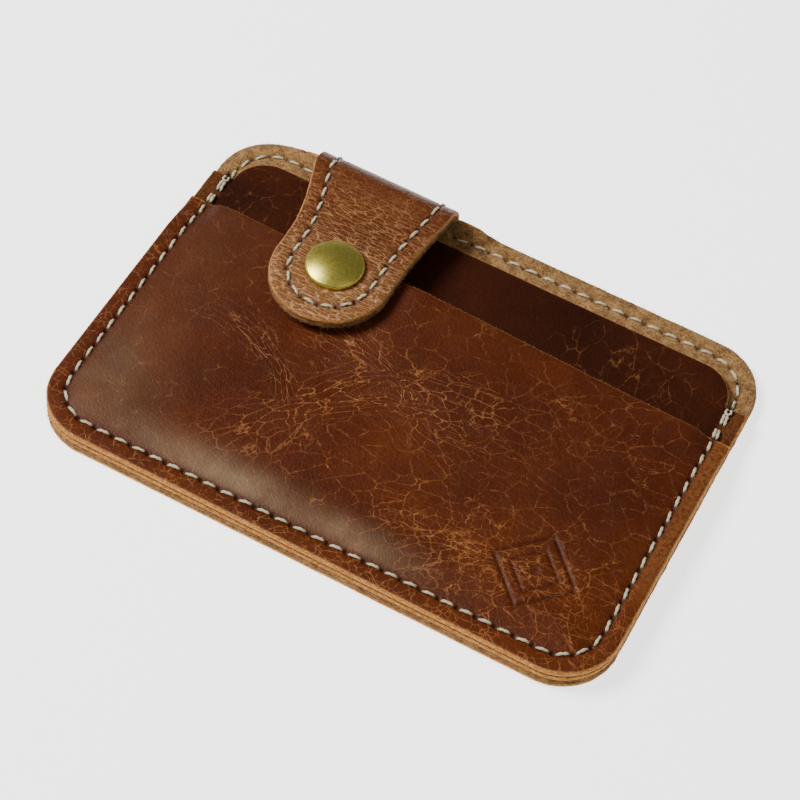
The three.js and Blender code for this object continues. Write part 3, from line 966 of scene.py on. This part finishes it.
def front_crackle(q):
    marks = 0.2 * spot(q, 4, 1, 15, 8) + 0.12 * spot(q, -6, -20, 8, 15) + 0.5 * spot(q, 36, -24, 18, 12)
    marks += 0.36 * spot(q, 34, 4, 18, 11) + 0.25 * spot(q, -30, 10, 8, 8) + 0.3 * spot(q, 16, -24, 15, 8)
    margin = distance(q, sewn_edge)
    return marks + 0.5 * smooth((SEAM_INSET + 0.3 - margin) / 0.8) + 0.12


# Painted sheen: where the front's colour is pushed towards pale grey-brown, as a reflection by the lower
# seam and on the left.
def front_painted_sheen(q):
    marks = 0.26 * spot(q, -45, -25, 10, 14) + 0.7 * spot(q, -18, -32, 15, 3.6)
    marks += 0.1 * spot(q, -42, 6, 9, 14)
    marks += 0.5 * spot(q, 8, -32, 9, 3)
    return marks * smooth((distance(q, sewn_edge) - SEAM_INSET) / 1.5)


def plain_flow(q, along, across):
    """Coordinates for a network of crackle that wanders a little."""
    return np.column_stack([q[:, 0] * along, q[:, 1] * across + 1.5 * waves(q, 14.0, 33), q[:, 2] * 0.1])


def level(value):
    """A rule that gives every point the same value."""
    return lambda q: np.full(len(q), float(value))


def back_paint(q):
    return {"flow": plain_flow(q, 0.5, 1.0), "crackle": np.full(len(q), 0.35)}


def middle_paint(q):
    past_seam = np.abs(q[:, 0]) - SEAM_SIDE
    marks = 0.5 * spot(q, 32, 24, 13, 9) + 0.42 * spot(q, -42, 24, 9, 8) - 0.05
    return {"flow": plain_flow(q, 1.1, 0.8), "crackle": marks + smooth(past_seam),
            "worn": smooth((past_seam + 0.9) / 1.2)}


def front_paint(q):
    strand, bundle = creases(q)
    # Darker patches of the leather's own tone, plus painted shade in the lozenge's pressed lines and dot.
    dark = 0.55 * spot(q, 32, -2, 20, 13) + 0.32 * spot(q, -42, 6, 14, 18) + 0.6 * mark_lines(q)
    return {"flow": front_flow(q), "crackle": front_crackle(q), "painted_sheen": front_painted_sheen(q),
            "strand": strand, "bundle": bundle, "tone_and_groove_shade": np.clip(dark, 0, 1),
            "worn": smooth(q[:, 0] - SEAM_SIDE) * smooth((q[:, 1] + 22) / 14)}


def strap_paint(q):
    return {"flow": plain_flow(q, 0.4, 1.0), "crackle": 0.2 + 0.5 * smooth((20 - q[:, 1]) / 9)}


def mark_lines(q):
    """A small generic tooled lozenge: two pressed outlines and a dot."""
    dx, dy = np.abs(q[:, 0] - MARK_X), np.abs(q[:, 1] - MARK_Y)
    ring = dx + dy
    lines = np.exp(-(((ring - 7.4) / 0.5) ** 2)) + 0.8 * np.exp(-(((ring - 4.4) / 0.45) ** 2))
    dot = np.exp(-((np.hypot(dx, dy) / 0.9) ** 4))
    return lines + 0.8 * dot


MARK_X = SEAM_SIDE - 14.5
MARK_Y = -TOP + 15.0
MARK_REACH = 8.6
sewn_edge = np.vstack([*body_outline(FRONT_MOUTH), [(SIDE, FRONT_MOUTH)]])


# ---------- building the pieces

def put(obj, material, body, slot, *nodes):
    """Gives a finished piece its material, its body and the CAD nodes it stands for."""
    obj.data.materials.append(material)
    if nodes:
        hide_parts(*nodes)
    if body:
        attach(obj, body)
    return obj


def sew(name, nodes, body, route, height, place, **settings):
    """A run of stitches, with its thread, its body and the CAD nodes that it stands for."""
    return put(stitch_run(name, route, height, place, **settings), thread, body, "thread", *nodes)


def build_body():
    seam_front = seam_route(FRONT_MOUTH)
    seam_all = seam_route(SHOULDER)
    rims = [rim_route(-1), rim_route(1)]
    mark = np.array([MARK_X, MARK_Y])
    mark_points = hex_points(mark - MARK_REACH, mark + MARK_REACH, 0.24)
    mark_points = mark_points[np.abs(mark_points - mark).sum(1) < MARK_REACH]

    def rear_face(q):
        return pressed(q, [seam_all, *rims]) * 0.7

    def back_face(q):
        uneven = 0.05 * waves(q, 7.0, 4) + 0.04 * waves(q, 2.4, 6)
        return BACK_TOP - pressed(q, rims) + uneven * smooth((q[:, 1] - SHOULDER) / 2)

    def middle_face(q):
        tack = (q[:, 1] > FRONT_MOUTH - 1) * np.exp(-(((np.abs(q[:, 0]) - SEAM_SIDE) / 0.9) ** 2)) * 0.25
        return MIDDLE_TOP + 0.05 * waves(q, 16.0, 5) * (q[:, 1] > FRONT_MOUTH) - tack

    def front_under(q):
        return FRONT_BOTTOM + front_lift(q)

    def front_face(q):
        inner = SEAM_SIDE - np.abs(q[:, 0])
        below = q[:, 1] + TOP - SEAM_INSET
        corner = np.minimum(inner, below)
        pillow = PILLOW_LIFT * smooth(np.clip(corner, 0, PILLOW_REACH) / PILLOW_REACH) ** 0.8
        pillow *= 1 - 0.75 * smooth((q[:, 1] - FRONT_MOUTH + 20) / 16) * smooth((q[:, 0] + 45) / 12)
        soft = 0.09 * waves(q, 22.0, 2) + 0.03 * waves(q, 7.0, 3)
        field = smooth(np.clip(corner, 0, 5) / 5)
        thinner = CORNER_THINNING * smooth((3.6 - inner) / 3.4) * smooth((q[:, 1] - FRONT_MOUTH + 9) / 9)
        top = FRONT_TOP + front_lift(q) - thinner - pressed(q, [seam_front])
        return top + pillow + field * (soft - MARK_DEPTH * mark_lines(q))

    back = sheet("back_shell", back_outline(), rear_face, level(BACK_SHELL_TOP), curl_place,
                 finished=[back_edges()], seams=[seam_all, *rims], step=1.2, seed=11, paint=back_paint)
    put(back, back_leather, "wallet", "back_grain", "back_panel")
    inner = sheet("back_suede", back_outline(), level(BACK_SHELL_TOP), back_face, curl_place,
                  finished=[back_edges()], seams=rims, step=0.8, seed=12, rough=0.05)
    put(inner, suede, "wallet", "suede", "back_lining")
    middle = sheet("middle_pocket", middle_outline(), level(BACK_TOP + 0.02), middle_face, flat_place,
                   step=1.0, seed=13, paint=middle_paint)
    put(middle, middle_leather, "wallet", "middle_grain", "middle_panel")
    front = sheet("front_pocket", front_outline(), front_under, front_face, flat_place,
                  seams=[seam_front], step=0.62, seed=14, edge_radius=0.45, paint=front_paint,
                  detail=mark_points)
    put(front, front_leather, "wallet", "front_grain", "front_panel")

    def thread_bed(q):
        return front_face(q) + pressed(q, [seam_front]) * 0.75

    sew("body_stitches", ["seam_thread_front"], "wallet", seam_front, thread_bed, flat_place)
    top_bed, rear_bed = level(BACK_TOP), level(REAR_BED)
    sew("body_stitches_rear", ["seam_thread_rear"], "wallet", seam_all, rear_bed, flat_place, side=-1)
    for word, route in zip(("left", "right"), rims):
        sew("rim_stitches_" + word, ["rim_thread_front_" + word], "wallet", route, top_bed, curl_place)
        sew("rim_stitches_rear_" + word, ["rim_thread_rear_" + word], "wallet", route, rear_bed,
            curl_place, side=-1)

    for word, sign in (("left", -1), ("right", 1)):
        build_tack(word, sign)

    loose = fuzz("band_fibres", back_edges(), (BACK_SHELL_TOP, BACK_TOP + 0.05), curl_place,
                 count=3400, length=0.6, spread=0.7)
    put(loose, suede, "wallet", "suede")

    def mouth_place(points):
        return points + np.column_stack([np.zeros((len(points), 2)), front_lift(points)])

    mouth = line((SIDE - 12, FRONT_MOUTH), (ROOT_RIGHT - 4, FRONT_MOUTH), 0.3)
    lip = fuzz("mouth_fibres", mouth, (FRONT_TOP - 0.7, FRONT_TOP + 0.05), mouth_place,
               count=900, length=0.45, spread=0.6)
    put(lip, suede, "wallet", "suede")


def build_tack(word, sign):
    """The doubled stitching at a pocket's corner, with a knot and its frayed ends."""
    low, high = bartack_low[1] - 1.2, bartack_high[1] + 0.2
    route = line((sign * SEAM_SIDE, low), (sign * SEAM_SIDE, high), 0.3)
    step_down = FRONT_TOP - MIDDLE_TOP

    def face(q):
        return MIDDLE_TOP + 0.1 + step_down * smooth((FRONT_MOUTH + 0.6 - q[:, 1]) / 1.2)

    for number, shift in enumerate((-0.3, 0.3)):
        nodes = ["bartack_" + word] if number == 0 else []
        sew(f"tack_{word}_{number}", nodes, "wallet", route, face, flat_place,
            pitch=(high - low) / 2, shift=shift)
    t = np.linspace(0, 1, 22)
    turn = t * 2.3 * math.pi
    knot = np.column_stack([
        sign * SEAM_SIDE + KNOT_WIDTH * np.cos(turn) * sign,
        high - 0.5 + KNOT_HEIGHT * np.sin(turn),
        MIDDLE_TOP + 0.2 + 0.2 * t,
    ])
    piece = tube("knot_" + word, knot, KNOT_RADIUS)
    put(piece, thread, "wallet", "thread")
    knot_top = line((sign * SEAM_SIDE - 0.4, high), (sign * SEAM_SIDE + 0.4, high), 0.1)
    ends = fuzz("frayed_" + word, knot_top, (MIDDLE_TOP + 0.1, MIDDLE_TOP + 0.6), flat_place,
                count=90, length=1.5, spread=0.5, outward=-1, radius=0.04)
    put(ends, thread, "wallet", "thread")


def tube(name, centre, radius, sides=8):
    """A short two-ply thread along points in space."""
    way = directions(centre)
    side_a = unit(np.cross(way, (0, 0, 1.0)))
    side_b = np.cross(side_a, way)
    turn = 2 * math.pi * np.arange(sides) / sides
    lobe = 1 + 0.15 * np.cos(2 * (turn[None, :] - 0.9 * np.arange(len(centre))[:, None]))
    ring = centre[:, None, :] + radius * lobe[:, :, None] * (
        np.cos(turn)[None, :, None] * side_a[:, None, :] + np.sin(turn)[None, :, None] * side_b[:, None, :])
    flat = ring.reshape(-1, 3)
    values = {"leather": flat.copy(), "proud": np.ones(len(flat))}
    return mesh_object(name, flat, tube_faces(0, len(centre), sides), values, smooth_angle=80)


def build_strap():
    half = STRAP_THICKNESS / 2
    middle = FOLD_TURN / 2
    seam = strap_side(SEAM_INSET, 0.0)
    outer = strap_side(0.0, middle)
    across = line((ROOT_RIGHT, middle), (ROOT_LEFT, middle), 0.5)
    outline = np.vstack([outer, across[1:]])[::-1]
    snap_s = FOLD_TURN + FOLD_START - SNAP_Y

    def shell_face(q):
        away = np.hypot(q[:, 0] - SNAP_X, q[:, 1] - snap_s)
        dimple = 0.16 * (1 - smooth((away - 4.2) / 3.0))
        return half - pressed(q, [seam]) + 0.04 * waves(q, 6.0, 8) * smooth((away - 5) / 2) - dimple

    def under_face(q):
        return -half + pressed(q, [seam]) * 0.7

    def two_layers(name, around, edges, step, seed, shell_nodes=(), lining_nodes=()):
        """The grain layer and the suede layer of one stretch of the strap."""
        grain = sheet(name + "_outer", around, level(0), shell_face, wrap_place, finished=edges,
                      seams=[seam], step=step, seed=seed, paint=strap_paint)
        put(grain, strap_leather, None, "strap_grain", *shell_nodes)
        split = sheet(name + "_inner", around, under_face, level(0), wrap_place, finished=edges,
                      seams=[seam], step=0.7, seed=seed + 1, rough=0.05)
        put(split, suede, None, "suede", *lining_nodes)
        return [grain, split]

    upper = two_layers("strap", outline, [outer], 0.6, 21,
                       ["strap_shell", "fold_shell"], ["strap_lining", "fold_lining"])
    block = np.vstack([
        line((ROOT_LEFT, 0), (ROOT_RIGHT, 0), 0.5),
        line((ROOT_RIGHT, 0), (ROOT_RIGHT, middle), 0.4),
        line((ROOT_RIGHT, middle), (ROOT_LEFT, middle), 0.5),
        line((ROOT_LEFT, middle), (ROOT_LEFT, 0), 0.4),
    ])
    sides = [line((x, 0.0), (x, middle + 0.4), 0.4) for x in (ROOT_LEFT, ROOT_RIGHT)]
    lower = two_layers("root", block, sides, 0.7, 23)

    top_bed, under_bed = level(half - 0.04), level(0.1 - half)
    upper_seam = seam[seam[:, 1] >= middle - 0.01]
    top_run = sew("strap_stitches", ["strap_thread_top"], None, upper_seam, top_bed, wrap_place)
    under_run = sew("strap_stitches_under", ["strap_thread_under"], None, upper_seam, under_bed,
                    wrap_place, side=-1)
    fibres = fuzz("strap_fibres", outer, (-half, -0.15), wrap_place, count=3000, length=0.62, spread=0.7)
    put(fibres, suede, None, "suede")
    for piece in (*upper, top_run, under_run, fibres):
        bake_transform(piece)

    for word, x in (("left", ROOT_LEFT + SEAM_INSET), ("right", ROOT_RIGHT - SEAM_INSET)):
        route = line((x, 0.4), (x, middle), 0.3)
        for kind, bed, side in (("outer", top_bed, 1), ("inner", under_bed, -1)):
            nodes = [f"fold_thread_{kind}_{word}"]
            lower.append(sew(f"root_stitches_{kind}_{word}", nodes, None, route, bed, wrap_place,
                             side=side, pitch=ROOT_PITCH))
    for piece in lower:
        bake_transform(piece)


CAP_RIM = 0.22
CAP_SHOULDER = 0.62


def build_cap():
    """The snap's domed cap, spun from brass sheet: a flat crown, a round shoulder, a rolled rim."""
    radius = (cap_high[0] - cap_low[0]) / 2
    low, high = cap_low[2], cap_high[2]
    rise = high - low
    profile = [(0.0, low + 0.02), (radius * 0.9, low + 0.02)]
    for angle in np.linspace(-80, 50, 9):
        turn = math.radians(angle)
        profile.append((radius - CAP_RIM + CAP_RIM * math.cos(turn), low + 0.24 + CAP_RIM * math.sin(turn)))
    shoulder, crown = CAP_SHOULDER, low + 0.74 * rise
    for angle in np.linspace(0, 64, 10):
        turn = math.radians(angle)
        profile.append((radius - 0.1 - shoulder * (1 - math.cos(turn)),
                        crown - shoulder * 0.9 + shoulder * math.sin(turn) + 0.1))
    edge_r, edge_z = profile[-1]
    for t in np.linspace(0.06, 1, 18):
        r = edge_r * (1 - t)
        profile.append((r, edge_z + (high - edge_z) * (1 - (r / edge_r) ** 2.2)))
    around = 96
    points = []
    for r, z in profile[1:-1]:
        for k in range(around):
            turn = 2 * math.pi * k / around
            points.append((SNAP_X + r * math.cos(turn), SNAP_Y + r * math.sin(turn), z))
    faces = tube_faces(0, len(profile) - 2, around, closed=False)
    last = (len(profile) - 3) * around
    points += [(SNAP_X, SNAP_Y, profile[0][1]), (SNAP_X, SNAP_Y, high)]
    for k in range(around):
        j = (k + 1) % around
        faces.append((len(points) - 2, j, k))
        faces.append((last + k, last + j, len(points) - 1))
    points = np.array(points)
    piece = mesh_object("snap_dome", points, faces, {"leather": points.copy()}, smooth_angle=40)
    put(piece, brass, "strap", "brass", "snap_cap")


def dress_cad():
    """Better materials for the CAD nodes that stay."""
    for node, material in {
        "snap_socket": brass, "snap_stud": brass, "snap_post": brass, "snap_spring": steel,
    }.items():
        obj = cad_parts[node]
        obj.data.materials.clear()
        obj.data.materials.append(material)


build_body()
build_strap()
build_cap()
dress_cad()


# ---------- camera, floor and light

# The camera that was fitted to the photo: degrees, metres, millimetres of lens, shares of the sensor.
CAMERA_AZIMUTH = 22.058
CAMERA_ELEVATION = 55.150
CAMERA_ROLL = 7.188
CAMERA_DISTANCE = 0.40966
CAMERA_LENS = 108.14
SENSOR_WIDTH = 36.0
CAMERA_SHIFT = (-0.0078, -0.0004)
FLOOR_REACH = 3.0
FLOOR_Z = -0.0002


def way_out(azimuth_deg, elevation_deg):
    """The direction out from the part at an azimuth from the front and an elevation."""
    a, e = math.radians(azimuth_deg), math.radians(elevation_deg)
    return np.array([math.sin(a) * math.cos(e), -math.cos(a) * math.cos(e), math.sin(e)])


def build_camera():
    azimuth, roll = math.radians(CAMERA_AZIMUTH), math.radians(CAMERA_ROLL)
    back = way_out(CAMERA_AZIMUTH, CAMERA_ELEVATION)
    flat_right = np.array([math.cos(azimuth), math.sin(azimuth), 0.0])
    right = math.cos(roll) * flat_right + math.sin(roll) * np.cross(back, flat_right)
    up = np.cross(back, right)
    camera = bpy.data.objects.new("camera", bpy.data.cameras.new("camera"))
    camera.data.lens = CAMERA_LENS
    camera.data.sensor_width = SENSOR_WIDTH
    camera.data.shift_x, camera.data.shift_y = CAMERA_SHIFT
    rows = [[right[k], up[k], back[k], back[k] * CAMERA_DISTANCE] for k in range(3)]
    camera.matrix_world = Matrix([*rows, [0, 0, 0, 1]])
    bpy.context.scene.collection.objects.link(camera)
    bpy.context.scene.camera = camera


def build_floor():
    mesh = bpy.data.meshes.new("floor")
    ends = [(-1, -1), (1, -1), (1, 1), (-1, 1)]
    mesh.from_pydata([(x * FLOOR_REACH, y * FLOOR_REACH, 0) for x, y in ends], [], [(0, 1, 2, 3)])
    floor = bpy.data.objects.new("floor", mesh)
    floor.location.z = FLOOR_Z
    paper = Nodes("paper")
    floor.data.materials.append(paper.finish(rgb(250, 250, 252), 0.9, Specular_IOR_Level=0.1,
                                             Emission_Color=(1.0, 1.0, 1.0, 1.0), Emission_Strength=2.0))
    bpy.context.scene.collection.objects.link(floor)


def build_world():
    world = bpy.data.worlds.new("studio")
    world.use_nodes = True
    sky = world.node_tree.nodes["Background"].inputs
    sky["Color"].default_value = (1.0, 0.97, 0.91, 1.0)
    sky["Strength"].default_value = 0.25
    bpy.context.scene.world = world


def build_softbox(name, azimuth_deg, elevation_deg, far, size, watts):
    way = way_out(azimuth_deg, elevation_deg)
    lamp = bpy.data.objects.new(name, bpy.data.lights.new(name, "AREA"))
    lamp.data.shape = "DISK"
    lamp.data.size = size
    lamp.data.energy = watts
    lamp.location = way * far
    lamp.rotation_mode = "QUATERNION"
    lamp.rotation_quaternion = Vector(-way).to_track_quat("-Z", "Y")
    bpy.context.scene.collection.objects.link(lamp)


build_camera()
build_floor()
build_world()
build_softbox("key", -75, 48, far=1.1, size=0.5, watts=20)
build_softbox("fill", 70, 50, far=1.3, size=0.9, watts=2.5)
